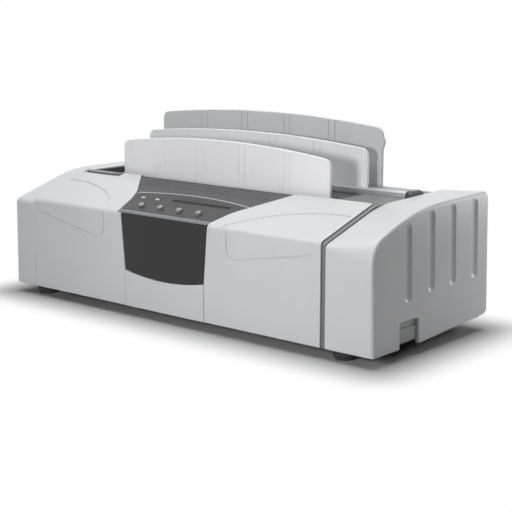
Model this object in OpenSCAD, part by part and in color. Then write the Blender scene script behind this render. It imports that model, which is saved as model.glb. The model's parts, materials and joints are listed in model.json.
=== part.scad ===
// Desktop thermal binding machine.
// +X runs to the operator's right, +Y to the rear, +Z up. The origin is on the table,
// under the middle of the housing. Heights inside the housing are measured from the
// housing's lower edge, which the feet hold foot_h above the table.

/* [Housing] */
// Overall width over both end caps
body_w = 510; // [500:1:520]
// Depth from the front face to the rear of the end caps
body_d = 204; // [202:1:206]
// Height of the flat deck above the housing's lower edge
deck_z = 126.5; // [126:0.5:127]
// Height of the front top edge above the housing's lower edge
front_h = 102.2; // [101:0.2:103]
// Slope of the two front covers and the console
slope_a = 17.8; // [17.4:0.1:18]
// Wall thickness of the moulded covers
wall = 2.5; // [2.2:0.1:2.8]
// Width of the left end cap
left_cap_w = 34; // [32:1:36]
// Width of the right end cap
right_cap_w = 56; // [54:1:58]
// Height that the feet hold the housing above the table
foot_h = 11; // [9:1:13]

/* [Binding channel] */
// Centre of the channel across the machine
slot_cx = -14; // [-15:1:-13]
// Clear length of the channel, which takes the long edge of an A4 cover
channel_l = 317; // [316:1:318]
// How far the clamp closes
clamp_travel = 45; // [40:1:45]

/* [Paddles] */
// Width of the moving front paddle
front_paddle_w = 299; // [297:1:300]
// Width of the two cooling rack paddles
rack_paddle_w = 320; // [316:1:322]
// Height of the front paddle's crown
front_crown_z = 175.4; // [172:0.2:178]
// Height of the middle paddle's crown
middle_crown_z = 181; // [178:1:184]
// Height of the rear paddle's crown
rear_crown_z = 202; // [198:1:206]
// Thickness of a paddle
paddle_t = 3.5; // [3:0.5:4]

/* [Drive] */
// Gear module
gear_m = 1; // [1:1]
// Teeth of the rack pinions and of the motor pinion
pinion_teeth = 16; // [16:1:16]
// Teeth of the gear on the cross shaft
wheel_teeth = 40; // [40:1:40]
// Radius of the two guide rods
rod_r = 4; // [3.5:0.5:4]
// Radius of the cross shaft
shaft_r = 3; // [2.5:0.5:3]

/* [Controls] */
// Spacing of the four push buttons
button_pitch = 27.8; // [27:0.2:28]
// Radius of a push button
button_r = 3.5; // [3:0.1:4]
// Travel of a push button
button_travel = 1; // [0.8:0.1:1.2]

/* [Hidden] */
$fn = 48;
eps = 0.01;
front_y = -body_d / 2;
rear_y = body_d / 2;
left_x = -body_w / 2;
right_x = body_w / 2;
cover_left_x = left_x + left_cap_w;
cap_right_x = right_x - right_cap_w;
groove_w = 5.5;
cover_right_x = cap_right_x - groove_w;
seam_gap = 0.5;
edge_r = 6;
lip_y = front_y + 83.1;
chassis_in = 4;
chassis_t = 2.5;
deck_back = rear_y - 7.1;

// Console and fascia, all measured from the channel's centre
fascia_top_half = 63.8;
fascia_low_half = 57.5;
fascia_low_z = 40;
fascia_sag = 6;
fascia_top_z = 101;
// half width of the console at the front face, its angle there, the radius of its bend,
// and its angle behind the bend
flare_left = [67.3, 16, 80, 40];
flare_right = [61.3, 17, 30, 38.5];
flare_y = front_y + 24;
button_y = -84;
display_y = -64.8;
lamp_y = -67.1;

// Channel
channel_y0 = -18.5;
channel_y1 = 39.5;
opening_half = channel_l / 2 - 1.5;
opening_y0 = -16.5;
plate_z = 83.5;
plate_t = 4;
trough_t = 1.5;

// Paddles and rail
front_paddle_y = -12.2;
paddle_low_z = plate_z + 2.5;
rail_y0 = 39.6;
rail_y1 = 68.5;
rail_top_z = 133.5;
middle_y = 43;
middle_dx = -4;
rear_paddle_y = 63;
rib_xs = [-93, -31, 31, 93];
rib_w = 8.5;
rib_line_w = 1.3;
rib_line_deep = 0.8;
crown_r = 9;
ear_z0 = 94;
ear_z1 = 108;

// Drive
rod_dx = 175;
rod_z = 88;
shaft_y = 10;
shaft_z = 66;
pinion_r = gear_m * pinion_teeth / 2;
wheel_r = gear_m * wheel_teeth / 2;
centre_dist = pinion_r + wheel_r;
mesh_a = 216.87;
motor_y = shaft_y + centre_dist * cos(mesh_a);
motor_z = shaft_z + centre_dist * sin(mesh_a);
web_dx = 186.5;
web_t = 2.5;
block_y0 = front_paddle_y + paddle_t;
block_y1 = 14;
wheel_x = slot_cx - web_dx - web_t - 7.5;
wheel_t = 6;
backlash = 0.16;
run_gap = 0.05;

// Rear panel fittings
fan_x = 110;
fan_z = 62;
fan_half = 30;
inlet_x = -140;
switch_x = -92;
panel_z = 45;
rear_panel_y = rear_y - 7;
rear_screw_xs = [-205, -14, 185];
rear_screw_zs = [9.5, deck_z - 7.5];
rocker_rest = -8;

// ---------- shared shapes ----------

// Everything in the housing stands on the feet
module on_feet() { translate([0, 0, foot_h]) children(); }

// Box between two corners
module bar(lo, hi) { translate(lo) cube(hi - lo); }

// Outline in Y and Z, extruded along X
module x_prism(x0, x1, outline) {
    translate([x0, 0, 0]) rotate([90, 0, 90]) linear_extrude(x1 - x0) polygon(outline);
}

// Outline in X and Z, extruded along Y
module y_prism(y0, y1, outline) {
    translate([0, y1, 0]) rotate([90, 0, 0]) linear_extrude(y1 - y0) polygon(outline);
}

module x_rod(x0, x1, y, z, r) { translate([x0, y, z]) rotate([0, 90, 0]) cylinder(h = x1 - x0, r = r); }
module y_rod(x, y0, y1, z, r) { translate([x, y0, z]) rotate([-90, 0, 0]) cylinder(h = y1 - y0, r = r); }
module z_rod(x, y, z0, z1, r) { translate([x, y, z0]) cylinder(h = z1 - z0, r = r); }

function flip(v) = [for (i = [len(v) - 1:-1:0]) v[i]];
function arc(c, r, a0, a1, n) =
    [for (i = [0:n]) let (a = a0 + (a1 - a0) * i / n) [c[0] + r * cos(a), c[1] + r * sin(a)]];

// Height of the front covers' outer surface at depth y
function slope_z(y) = front_h + (y - front_y) * tan(slope_a);

// Places children on the slope: local Z is its normal, and the point is under (x, y)
module on_slope(x, y) { translate([x, y, slope_z(y)]) rotate([slope_a, 0, 0]) children(); }

// The housing's front and slope, offset inwards by t, with a front top edge of radius r
function front_path(t, r, low, end) =
    let (cy = front_y + t + r, cz = slope_z(cy) - (t + r) / cos(slope_a))
    concat([[front_y + t, low]], arc([cy, cz], r, 180, 90 + slope_a, 6),
           [[end, slope_z(end) - t / cos(slope_a)]]);

module front_skin(x0, x1, t0, t1, end) {
    x_prism(x0, x1, concat(front_path(t0, edge_r - t0, 0, end),
                           flip(front_path(t1, edge_r - t1, 0, end))));
}

// One side of the console in plan, which flares towards the rear
function flare_side(p, grow) =
    let (h = p[0] + grow + (flare_y - front_y) * tan(p[1]),
         turn = arc([h + p[2] * cos(p[1]), flare_y - p[2] * sin(p[1])], p[2], 180 - p[1], 180 - p[3], 8),
         last = turn[len(turn) - 1],
         run = lip_y + 2 - last[1])
    concat([[p[0] + grow - 3 * tan(p[1]), front_y - 3]], turn,
           [[last[0] + run * tan(p[3]), lip_y + 2]]);
module flare(z0, z1, grow) {
    translate([slot_cx, 0, z0]) linear_extrude(z1 - z0)
        polygon(concat(flare_side(flare_right, grow),
                       flip([for (q = flare_side(flare_left, grow)) [-q[0], q[1]]])));
}

// Front view of the dark fascia, with its bowed lower edge
function fascia_outline(grow) =
    let (h = fascia_low_half + grow, r = (h * h + fascia_sag * fascia_sag) / (2 * fascia_sag),
         a = asin(h / r), low = fascia_low_z - grow)
    concat([[fascia_top_half + grow, fascia_top_z + 12]],
           [[h, low]],
           [for (i = [1:11]) let (b = a - 2 * a * i / 12)
               [r * sin(b), low - fascia_sag + r * (1 - cos(b))]],
           [[-h, low], [-fascia_top_half - grow, fascia_top_z + 12]]);
module fascia_block(y0, y1, grow) { translate([slot_cx, 0, 0]) y_prism(y0, y1, fascia_outline(grow)); }

// Paddle outline with a bowed crown and rounded corners, from its centre
function crown_outline(half, low, top, drop, r) =
    let (big = (half * half + drop * drop) / (2 * drop),
         cz = top - big,
         kx = half - r, kz = cz + sqrt(pow(big - r, 2) - kx * kx),
         lean = atan2(kz - cz, kx))
    concat([[half, low]], arc([kx, kz], r, 0, lean, 5),
           [for (i = [1:23]) let (a = lean + (180 - 2 * lean) * i / 24)
               [big * cos(a), cz + big * sin(a)]],
           arc([-kx, kz], r, 180 - lean, 180, 5), [[-half, low]]);

// Involute flank, as the angle gained at radius q on a gear with base radius b
function inv_angle(q, b) = let (p = acos(min(1, b / q))) tan(p) * 180 / PI - p;
function gear_outline(teeth, phase) =
    let (pr = gear_m * teeth / 2, base = pr * cos(20), tip = pr + 0.95 * gear_m,
         root = pr - 1.2 * gear_m, low = max(base, root),
         half = 90 / teeth - backlash / 2 / pr * 180 / PI,
         at = inv_angle(pr, base),
         qs = [for (k = [0:3]) low + (tip - low) * k / 3],
         step = 360 / teeth)
    [for (i = [0:teeth - 1]) let (m = phase + i * step)
        each concat(
            [[root, m - half - at]],
            [for (q = qs) [q, m - half - at + inv_angle(q, base)]],
            [for (q = flip(qs)) [q, m + half + at - inv_angle(q, base)]],
            [[root, m + half + at]])];
module gear(teeth, phase, thick) {
    linear_extrude(thick)
        polygon([for (p = gear_outline(teeth, phase)) [p[0] * cos(p[1]), p[0] * sin(p[1])]]);
}
// A gear on an X axis, phase counted in the YZ plane from +Y
module x_gear(x0, y, z, teeth, phase, thick) {
    translate([x0, y, z]) rotate([90, 0, 90]) gear(teeth, phase, thick);
}

// Solid through rings of points, each ring with the same number of points
module loft(rings) {
    n = len(rings[0]);
    last = (len(rings) - 1) * n;
    polyhedron([for (ring = rings) each ring], concat(
        [[for (i = [n - 1:-1:0]) i], [for (i = [0:n - 1]) last + i]],
        [for (k = [0:n:last - n], i = [0:n - 1]) let (j = (i + 1) % n)
            each [[k + i, k + j, k + n + j], [k + i, k + n + j, k + n + i]]]));
}

// Pan head screw along +Z, head down to shank
module screw(head_r, head_h, shank_r, shank_l) {
    difference() {
        union() {
            cylinder(h = head_h, r = head_r);
            translate([0, 0, -shank_l]) cylinder(h = shank_l + eps, r = shank_r);
        }
        for (a = [0, 90]) rotate([0, 0, a])
            translate([-head_r * 0.55, -0.35, head_h * 0.5]) cube([head_r * 1.1, 0.7, head_h]);
    }
}

// ---------- base ----------

foot_xs = [left_x + 32, right_x - 46];
foot_ys = [front_y + 20, rear_y - 26];
base_z0 = 2;
base_z1 = 4;
base_half_x = right_x - 6.5;
base_y0 = front_y + chassis_in + chassis_t;

module base_plate() {
    color("dimgray") on_feet() difference() {
        union() {
            bar([-base_half_x, base_y0, base_z0], [base_half_x, rear_panel_y - 0.1, base_z1]);
            // turned-up flanges carry the chassis and the rear cover
            for (y = [base_y0, rear_panel_y - 1.6])
                bar([cover_left_x + 0.4, y, base_z0], [cap_right_x - 0.4, y + 1.5, base_z1 + 9]);
        }
        for (x = foot_xs, y = foot_ys) z_rod(x, y, 0, 10, 2.6);
        for (i = [0:9]) bar([-120 + i * 14, -70, 0], [-114 + i * 14, -30, 10]);
        for (i = [0:6]) bar([60 + i * 14, 20, 0], [66 + i * 14, 60, 10]);
        rear_screw_holes();
    }
}

module rubber_feet() {
    color("black") for (x = foot_xs, y = foot_ys) translate([x, y, 0]) difference() {
        cylinder(h = foot_h + base_z0, r1 = 11, r2 = 13.5);
        translate([0, 0, -1]) cylinder(h = 6, r = 5.2);
        cylinder(h = 40, r = 2.6);
    }
}

module foot_screws() {
    color("silver") for (x = foot_xs, y = foot_ys) translate([x, y, 0]) {
        translate([0, 0, 2.5]) cylinder(h = 2.5, r = 4.5);
        translate([0, 0, 5]) cylinder(h = foot_h + base_z1 - 1, r = 2.45);
        translate([0, 0, foot_h + base_z1]) difference() {
            cylinder(h = 2.4, r = 4.2, $fn = 6);
            translate([0, 0, -1]) cylinder(h = 5, r = 2.45);
        }
    }
}

// ---------- chassis ----------

module chassis_shell() {
    outer = concat(front_path(chassis_in, 1.5, base_z1 + 0.4, lip_y + 0.4),
                   [[lip_y + 0.4, deck_z], [deck_back, deck_z], [deck_back, deck_z - 14]]);
    inner = concat(front_path(chassis_in + chassis_t, 1, base_z1 + 0.4, lip_y + 2.4),
                   [[lip_y + 2.4, deck_z - chassis_t], [deck_back - chassis_t, deck_z - chassis_t],
                    [deck_back - chassis_t, deck_z - 14]]);
    color("gray") on_feet() difference() {
        union() {
            x_prism(cover_left_x + 0.4, cap_right_x - 0.4, concat(outer, flip(inner)));
            // ledge that shows in the relief of the left cover
            bar([notch_x0 + 0.4, ledge_y, deck_z - 7.5], [tray_x1 + 0.6, lip_y + 1, deck_z]);
            // rib that fills the groove beside the right cap to just below the skin
            front_skin(cover_right_x + 0.3, cap_right_x - 0.3, 1.5, chassis_in + 0.5, lip_y);
        }
        // well of the sensor tray
        bar([tray_x0 - 0.3, tray_y0 - 0.3, 110], [tray_x1 + 0.3, tray_y1 + 0.3, 140]);
        // binding channel
        bar([slot_cx - opening_half, opening_y0, 100], [slot_cx + opening_half, channel_y1, 140]);
        // slot for the rear paddle
        bar([slot_cx - rack_paddle_w / 2 - 0.6, rear_paddle_y - 0.3, 100],
            [slot_cx + rack_paddle_w / 2 + 0.6, rear_paddle_y + paddle_t + 0.3, 140]);
        // window under the console for the switches and the display
        bar([slot_cx - 69, front_y + 10, 60], [slot_cx + 66, -52, 140]);
        rear_screw_holes();
        // eye of the sensor
        z_rod(sensor_x, sensor_y, 100, 140, 2.6);
        // cooling air holes in the front wall
        for (i = [0:8]) bar([80 + i * 12, front_y, 12], [84 + i * 12, front_y + 12, 60]);
    }
}

// ---------- light front covers ----------

line_half = 88.4;
line_w = 2;
line_deep = 1;
line_steep = 0.3;
line_lap = 0.6;
line_step = 0.05;
line_turn_r = 11;
line_turn_z = 81;
line_end = 196;
line_rise = 10.3;
bow_cx = 195;
bow_r = 146;
bow_top = -48.4;
bow_span = 54.5;

// Section of a decorative line whose outer edge is at out. Its outer wall is nearly upright.
function line_cut(out) =
    [[out, 1], [out, 0], [out - line_steep, -line_deep], [out - line_w, -line_deep], [out - line_w, 1]];

// Decorative line pressed into a cover, on the side given by s
module cover_line(s) {
    turn_x = line_half + line_turn_r;
    run = (line_end - turn_x) / cos(line_rise);
    translate([slot_cx, 0, 0]) scale([s, 1, 1]) {
        // down the front
        translate([turn_x, front_y, line_turn_z]) linear_extrude(front_h)
            polygon([for (q = line_cut(line_turn_r)) [-q[0], -q[1]]]);
        translate([turn_x, front_y, line_turn_z]) rotate([90, 0, 0]) {
            // round a corner
            rotate([0, 0, 180]) rotate_extrude(angle = 90 + line_rise)
                polygon(line_cut(line_turn_r));
            // and out along a rising line, which overlaps the corner's end
            rotate([0, 0, line_rise - 90]) translate([0, run, 0]) rotate([90, 0, 0])
                linear_extrude(run + line_lap) polygon(line_cut(line_turn_r + line_step));
        }
    }
    // bow across the slope
    translate([slot_cx + s * bow_cx, 0, 0]) on_slope(0, bow_top) translate([0, -bow_r, 0])
        rotate([0, 0, s > 0 ? 86.5 : 93.5 - bow_span])
            rotate_extrude(angle = bow_span, $fn = 180) polygon(line_cut(bow_r));
}

sensor_x = slot_cx - 199;
sensor_y = -24.5;
notch_x0 = cover_left_x + 4;
notch_x1 = slot_cx - 143;
notch_y = -28.2;
ledge_y = -22.5;

module front_cover(x0, x1, s) {
    difference() {
        front_skin(x0, x1, 0, wall, lip_y);
        fascia_block(front_y - 5, front_y + 6, 0.35);
        flare(fascia_top_z - 0.1, 140, 0.35);
        cover_line(s);
    }
}

module left_front_cover() {
    color("gainsboro") on_feet() difference() {
        front_cover(cover_left_x + 0.3, slot_cx - fascia_low_half - seam_gap / 2, -1);
        // relief that leaves a ledge of the chassis open beside the channel
        bar([notch_x0, notch_y, 100], [notch_x1, 0, 140]);
    }
}

module right_front_cover() {
    color("gainsboro") on_feet()
        front_cover(slot_cx + fascia_low_half + seam_gap / 2, cover_right_x, 1);
}

module centre_front_panel() {
    color("gainsboro") on_feet() difference() {
        bar([slot_cx - fascia_low_half + seam_gap / 2, front_y, 0],
            [slot_cx + fascia_low_half - seam_gap / 2, front_y + wall, fascia_low_z + 4]);
        fascia_block(front_y - 5, front_y + 6, 0.35);
    }
}

// ---------- fascia and console ----------

fascia_in = 0.8;

module front_fascia() {
    color("dimgray") on_feet() intersection() {
        fascia_block(front_y - 5, front_y + 3, 0);
        bar([-150, front_y + fascia_in, 0], [150, front_y + fascia_in + 2, fascia_top_z]);
    }
}

module console_trim() {
    color("darkgray") on_feet() intersection() {
        front_skin(slot_cx - 90, slot_cx + 90, 0.3, 2.3, lip_y);
        flare(90, 140, 0);
        bar([-150, front_y - 5, fascia_top_z + 0.2], [150, front_y + 7.2, 140]);
    }
}

panel_bow_r = 420;
panel_bow_x = slot_cx - 1;
panel_bow_y = -49;
panel_in = 0.2;
panel_t = 1.1;
deck_in = 1.4;
deck_t = 1.9;

// Plate parallel to the slope, between two depths below the covers' surface
module slope_plate(t0, t1, y0, y1) {
    c = cos(slope_a);
    x_prism(slot_cx - 130, slot_cx + 130, [[y0, slope_z(y0) - t0 / c], [y1, slope_z(y1) - t0 / c],
        [y1, slope_z(y1) - t1 / c], [y0, slope_z(y0) - t1 / c]]);
}

// Openings that the buttons, lamps and display share through the console
module control_holes(extra) {
    for (i = [0:3]) on_slope(button_x(i), button_y)
        translate([0, 0, -20]) cylinder(h = 30, r = button_r + 0.25 + extra);
    for (x = lamp_xs) on_slope(x, lamp_y)
        lamp_bar(-20, 10, 0.2 + extra);
    on_slope(display_x, display_y) translate([-display_l / 2 - extra, -display_w / 2 - extra, -20])
        cube([display_l + 2 * extra, display_w + 2 * extra, 30]);
}
function button_x(i) = slot_cx - 48.4 + i * button_pitch;
lamp_xs = [slot_cx - 62.8, slot_cx - 41.3];
lamp_l = 5;
lamp_w = 2.4;
display_x = slot_cx + 20;
display_l = 82;
display_w = 4.4;

// Oblong of a lamp, made larger all round by grow
module lamp_bar(z0, z1, grow) {
    bar([-lamp_l / 2 - grow, -lamp_w / 2 - grow, z0], [lamp_l / 2 + grow, lamp_w / 2 + grow, z1]);
}

module console_deck() {
    color("dimgray") on_feet() {
        difference() {
            intersection() {
                slope_plate(deck_in, deck_in + deck_t, front_y + 7.6, lip_y);
                flare(90, 140, 0);
            }
            control_holes(2);
        }
        // bead across the upper part
        on_slope(slot_cx, -34.5) translate([-89, 0, -deck_in]) rotate([90, 0, 90])
            linear_extrude(174) polygon(arc([0, -1.7], 2.5, 35, 145, 8));
    }
}

module control_panel() {
    color("dimgray") on_feet() difference() {
        intersection() {
            slope_plate(panel_in, panel_in + panel_t, front_y + 7.6, lip_y);
            flare(90, 140, 0);
            translate([panel_bow_x, panel_bow_y - panel_bow_r, 80])
                cylinder(h = 70, r = panel_bow_r, $fn = 360);
        }
        control_holes(0);
    }
}

module display_window() {
    color("black") on_feet() on_slope(display_x, display_y) difference() {
        translate([-display_l / 2 - 1.5, -display_w / 2 - 1.5, -2.6])
            cube([display_l + 3, display_w + 3, 2]);
        for (s = [-1, 1]) translate([-50, s > 0 ? display_w / 2 - 0.2 : -display_w / 2 - 5 + 0.2, -1.35])
            cube([100, 5, 2]);
        for (s = [-1, 1]) translate([s > 0 ? display_l / 2 - 0.2 : -display_l / 2 - 5 + 0.2, -20, -1.35])
            cube([5, 40, 2]);
    }
}

module indicator_lamps() {
    color("white") on_feet() for (x = lamp_xs) on_slope(x, lamp_y) {
        lamp_bar(-6, 0.4, 0);
        lamp_bar(-9.9, -5.95, 0.8);
    }
}

// ---------- control electronics ----------

board_in = 11.9;

module control_board() {
    color("seagreen") on_feet() on_slope(slot_cx, -68) translate([-75, -24, -board_in]) difference() {
        cube([150, 42, 1.6]);
        for (x = [3, 147], y = [4, 38]) translate([x, y, -1]) cylinder(h = 4, r = 1.6);
    }
}

module board_posts() {
    color("silver") on_feet() on_slope(slot_cx, -68)
        for (x = [-72, 72], y = [-20, 14]) translate([x, y, -board_in + 1.6]) {
            cylinder(h = board_in - 1.6 - chassis_in - chassis_t, r = 2.5);
            translate([0, 0, -4]) cylinder(h = 4, r = 1.5);
        }
}

module button_switches() {
    color("black") on_feet() for (i = [0:3]) on_slope(button_x(i), button_y) {
        translate([-3, -3, -board_in + 1.6]) cube([6, 6, 3.5]);
        translate([0, 0, -board_in + 5]) cylinder(h = 1, r = 1.7);
    }
}

module display_module() {
    color("darkolivegreen") on_feet() on_slope(display_x, display_y)
        translate([-display_l / 2 - 3, -display_w / 2 - 3, -board_in + 1.6])
            cube([display_l + 6, display_w + 6, 7]);
}

// Push button: domed cap, stem and retaining flange, free to sink by button_travel
module push_button(i) {
    on_feet() on_slope(button_x(i), button_y) {
        intersection() {
            translate([0, 0, -2]) cylinder(h = 6, r = button_r);
            translate([0, 0, -2]) sphere(r = 5.2);
        }
        translate([0, 0, -3.2]) cylinder(h = 1.4, r = button_r + 1.5);
        translate([0, 0, -4.7]) cylinder(h = 1.6, r = 2);
    }
}
module start_button() { color("silver") push_button(0); }
module stop_button() { color("silver") push_button(1); }
module less_button() { color("silver") push_button(2); }
module more_button() { color("silver") push_button(3); }

// Sensor that sees the covers, moulded in one with the dark tray beside the channel
tray_x0 = notch_x0 + 0.8;
tray_x1 = slot_cx - opening_half - 4;
tray_y0 = -9.2;
tray_y1 = 35.7;
tray_z = deck_z - 12.5;
module sensor_tray() {
    color("black") on_feet() {
        difference() {
            bar([tray_x0, tray_y0, tray_z], [tray_x1, tray_y1, deck_z - 0.5]);
            bar([tray_x0 + 1.5, tray_y0 + 1.5, tray_z + 1.5],
                [tray_x1 - 1.5, tray_y1 - 1.5, deck_z + 1]);
        }
        z_rod(sensor_x, sensor_y, 112, slope_z(sensor_y) - 3.2, 2.4);
        bar([sensor_x - 7, sensor_y - 8, 104], [sensor_x + 7, sensor_y + 6, 112.01]);
        bar([sensor_x - 3, sensor_y + 5, 105], [sensor_x + 3, tray_y0 + 8, tray_z + 0.5]);
    }
}

// ---------- end caps ----------

// Profile of a cap in Y and Z: height of its slope at the front face and of its top at
// cap_top_y, angle of the slope and of the top, radius between them, radius of the front edge
cap_top_y = 18;
left_profile = [98.8, 126.6, 17.8, 0, 165, 6];
right_inner = [99.6, 128.2, 17.8, 1.6, 165, 6];
right_outer = [104.1, 132, 22, 1, 285, 26];
cap_rear_r = 8;
cap_draft = 1.35;
side_r = 3;
side_wall = 5;
// depth of each flute, and the heights of the middles of its lower and upper end
flutes = [[-44.1, 49, 113.5], [-4.3, 52.8, 121], [33.6, 53.3, 122.5], [74.4, 53.7, 122.5]];
flute_r = 9;
flute_deep = 2.4;

// Where two lines cross once each has moved down by d. A line is a point and an angle.
function meet(a, b, d) =
    let (na = [-sin(a[1]), cos(a[1])], nb = [-sin(b[1]), cos(b[1])],
         ka = na * a[0] - d, kb = nb * b[0] - d, det = na[0] * nb[1] - na[1] * nb[0])
    [(ka * nb[1] - kb * na[1]) / det, (na[0] * kb - nb[0] * ka) / det];

// Side view of an end cap: front face, rounded edge, slope, long bend, top, rounded rear
function cap_outline(p, t) =
    let (face = [[front_y, 0], 90], ramp = [[front_y, p[0]], p[2]],
         top = [[cap_top_y, p[1]], p[3]], back = [[rear_y, 0], -90])
    concat([[front_y + t, -20]],
           arc(meet(face, ramp, p[5]), p[5] - t, 180, 90 + p[2], 8),
           arc(meet(ramp, top, p[4]), p[4] - t, 90 + p[2], 90 + p[3], 12),
           arc(meet(top, back, cap_rear_r), cap_rear_r - t, 90 + p[3], 0, 6),
           [[rear_y - t, -20]]);

// Ring of points at x. Its share of the way from the inner to the outer profile is part,
// and the outer face leans in by cap_draft.
function cap_ring(x, inner, outer, part, t) =
    [for (q = cap_outline(inner + (outer - inner) * part, t))
        [x - part * q[1] * tan(cap_draft), q[0], q[1]]];

// Hollow right-hand cap whose inner edge is at x = 0
module cap_shell(w, inner, outer) {
    flat = w - side_r;
    difference() {
        loft(concat([for (k = [0:2]) cap_ring(flat * k / 3, inner, outer, k / 3, 0)],
                    [for (a = [0:22.5:90])
                        cap_ring(flat + side_r * sin(a), inner, outer, 1, side_r * (1 - cos(a)))]));
        loft([cap_ring(-1, inner, outer, 0, wall),
              cap_ring(w - side_wall, inner, outer, 1, wall + 0.5)]);
        // lower edge rises towards the rear
        x_prism(-5, w + 5, [[front_y - 1, -25], [front_y - 1, 0], [-20, 0], [rear_y - 7, 6],
                            [rear_y + 1, 11], [rear_y + 1, -25]]);
        // scooped flutes in the outer face
        for (f = flutes) translate([w + flute_r - flute_deep - f[1] * tan(cap_draft), f[0], f[1]])
            rotate([0, -cap_draft, 0]) {
                cylinder(h = f[2] - f[1], r = flute_r);
                for (z = [0, f[2] - f[1]]) translate([0, 0, z]) sphere(r = flute_r);
            }
    }
}

port_y0 = -58;
port_y1 = -26;
port_z = 25.5;
port_r = 3;

module left_end_cap() {
    color("gainsboro") on_feet() translate([cover_left_x, 0, 0]) mirror([1, 0, 0])
        cap_shell(left_cap_w, left_profile, left_profile);
}

module right_end_cap() {
    color("gainsboro") on_feet() translate([cap_right_x, 0, 0]) difference() {
        cap_shell(right_cap_w, right_inner, right_outer);
        // recess with rounded upper corners
        x_prism(right_cap_w - 8, right_cap_w + 1,
                concat([[port_y1, -1]], arc([port_y1 - port_r, port_z - port_r], port_r, 0, 90, 4),
                       arc([port_y0 + port_r, port_z - port_r], port_r, 90, 180, 4), [[port_y0, -1]]));
    }
}

// Plate that fills the side recess, its upper band set back
port_in = 3;
port_step_z = 18.5;
module side_port_plate() {
    x1 = right_x - port_in;
    y0 = port_y0 + 0.4;
    y1 = port_y1 - 0.6;
    color("darkgray") on_feet() {
        bar([x1 - 1.5, y0, base_z1 + 1.6], [x1, y1, port_step_z]);
        bar([x1 - 2.7, y0, port_step_z - 3], [x1 - 1.2, y1, port_z - 1.6]);
        bar([x1 - 30, y0, base_z1], [x1 - 1, y1, base_z1 + 1.61]);
    }
}

// ---------- rear ----------

// Opening through the rear panel, half sizes in X and Z
module panel_slot(x, z, half_x, half_z) {
    bar([x - half_x, rear_panel_y - 1, z - half_z], [x + half_x, rear_panel_y + 5, z + half_z]);
}

module rear_cover() {
    color("gainsboro") on_feet() difference() {
        bar([cover_left_x + 0.3, rear_panel_y, 6], [cap_right_x - 0.3, rear_panel_y + wall, deck_z]);
        // fan grille
        for (i = [-3:3]) panel_slot(fan_x, fan_z + i * 7.5, sqrt(27 * 27 - pow(i * 7.5, 2)), 2);
        // vents
        for (i = [0:11]) panel_slot(-43 + i * 9, 98.5, 2, 13.5);
        // inlet and switch cut-outs
        panel_slot(inlet_x, panel_z, 14, 10.3);
        panel_slot(switch_x, panel_z, 7, 12.3);
        for (s = [-1, 1]) y_rod(inlet_x + s * 20, rear_panel_y - 1, rear_panel_y + 5, panel_z, 1.7);
        rear_screw_holes();
    }
}

module rear_screw_holes() {
    for (x = rear_screw_xs, z = rear_screw_zs) y_rod(x, rear_panel_y - 8, rear_panel_y + 5, z, 1.7);
}

module rear_screws() {
    color("silver") on_feet() {
        for (x = rear_screw_xs, z = rear_screw_zs)
            translate([x, rear_panel_y + wall, z]) rotate([-90, 0, 0]) screw(2.9, 1.1, 1.6, 8);
        for (s = [-1, 1]) translate([inlet_x + s * 20, rear_panel_y + wall + 1.5, panel_z])
            rotate([-90, 0, 0]) screw(2.6, 0.8, 1.5, 8);
    }
}

module power_inlet() {
    color("black") on_feet() difference() {
        union() {
            bar([inlet_x - 13.7, rear_panel_y - 20, panel_z - 10],
                [inlet_x + 13.7, rear_panel_y + wall + 0.1, panel_z + 10]);
            bar([inlet_x - 25, rear_panel_y + wall, panel_z - 11.5],
                [inlet_x + 25, rear_panel_y + wall + 1.4, panel_z + 11.5]);
        }
        bar([inlet_x - 11.7, rear_panel_y - 14, panel_z - 8],
            [inlet_x + 11.7, rear_panel_y + 5, panel_z + 8]);
        for (s = [-1, 1]) y_rod(inlet_x + s * 20, rear_panel_y - 1, rear_panel_y + 6, panel_z, 1.7);
    }
    // contact blades, which stand up from the floor of the socket
    color("gold") on_feet() for (i = [-1:1])
        bar([inlet_x + i * 7 - 1, rear_panel_y - 14.01, panel_z - 1 - abs(i)],
            [inlet_x + i * 7 + 1, rear_panel_y + 1, panel_z + 3 - abs(i)]);
}

rocker_half = 10;
rocker_w = 11.2;
module rocker_housing() {
    y1 = rear_panel_y + wall;
    color("black") on_feet() difference() {
        union() {
            bar([switch_x - 6.7, y1 - 18, panel_z - 12], [switch_x + 6.7, y1 + 0.1, panel_z + 12]);
            bar([switch_x - 9, y1, panel_z - 14], [switch_x + 9, y1 + 1.5, panel_z + 14]);
        }
        bar([switch_x - 5.9, y1 - 10, panel_z - rocker_half],
            [switch_x + 5.9, y1 + 3, panel_z + rocker_half]);
        x_rod(switch_x - 6.4, switch_x + 6.4, y1 - 1.5, panel_z, 1.25);
    }
}

module rocker_key() {
    color("black") on_feet()
        translate([switch_x, rear_panel_y + wall - 1.5, panel_z]) rotate([rocker_rest, 0, 0]) {
            x_prism(-rocker_w / 2, rocker_w / 2,
                    [[4.2, -9], [3, 0], [4.2, 9], [0, 9], [-5, 4.5], [-5, -4.5], [0, -9]]);
            x_rod(-6.25, 6.25, 0, 0, 1.2);
        }
}

// ---------- cooling rack ----------

module rail_slot(x, y, z) {
    bar([x - rack_paddle_w / 2 - 0.4, y - 0.15, z],
        [x + rack_paddle_w / 2 + 0.4, y + paddle_t + 0.15, 150]);
}
module rack_rail() {
    y0 = rail_y0;
    color("darkgray") on_feet() difference() {
        x_prism(cover_left_x + 3, cap_right_x - 2.5,
                [[y0, deck_z], [y0 + 1.2, rail_top_z - 2], [y0 + 4.6, rail_top_z],
                 [rail_y1 - 9, rail_top_z - 0.2], [rail_y1 - 5.5, rail_top_z - 1.8], [rail_y1, deck_z]]);
        // seat of the middle paddle, and the slot that the rear paddle passes through
        rail_slot(slot_cx + middle_dx, middle_y, deck_z + 1.2);
        rail_slot(slot_cx, rear_paddle_y, deck_z - 1);
    }
}

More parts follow.
